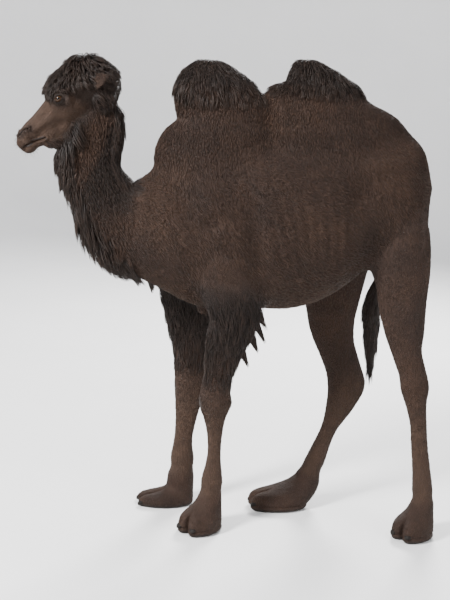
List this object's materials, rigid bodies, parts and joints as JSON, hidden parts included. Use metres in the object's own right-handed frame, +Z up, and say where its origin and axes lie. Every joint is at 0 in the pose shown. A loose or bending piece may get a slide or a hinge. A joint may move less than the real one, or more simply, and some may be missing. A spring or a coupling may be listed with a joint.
{
  "type": "two-humped camel figure",
  "caption": "Two-humped camel in a dark brown summer coat, with a shaggy crown, throat and forearms, standing in mid-step with its head raised. A still model.",
  "frame": {"origin": "on the floor under the centre of the outline's box, at the level of the soles", "axes": "+Z up, -X the way the camel faces, -Y its left side"},
  "size_m": [2.0006, 0.7348, 2.217],
  "materials": {
    "coat": "short smooth hair, dark brown",
    "long_hair": "long shaggy hair, blackish brown",
    "face_coat": "very short hair",
    "nail": "dull horn",
    "eye": "wet gloss"
  },
  "bodies": {
    "root": {"head": "face_coat", "lower_jaw": "face_coat", "neck": "long_hair", "trunk": "coat", "hump_front": "coat", "hump_rear": "coat", "tail": "long_hair", "eye_left": "eye", "eye_right": "eye", "ear_left": "face_coat", "ear_right": "face_coat", "fore_left_forearm": "coat", "fore_left_cannon": "coat", "fore_left_foot": "coat", "fore_left_nail_a": "nail", "fore_left_nail_b": "nail", "fore_right_forearm": "coat", "fore_right_cannon": "coat", "fore_right_foot": "coat", "fore_right_nail_a": "nail", "fore_right_nail_b": "nail", "hind_left_thigh": "coat", "hind_left_cannon": "coat", "hind_left_foot": "coat", "hind_left_nail_a": "nail", "hind_left_nail_b": "nail", "hind_right_thigh": "coat", "hind_right_cannon": "coat", "hind_right_foot": "coat", "hind_right_nail_a": "nail", "hind_right_nail_b": "nail"}
  },
  "joints": []
}
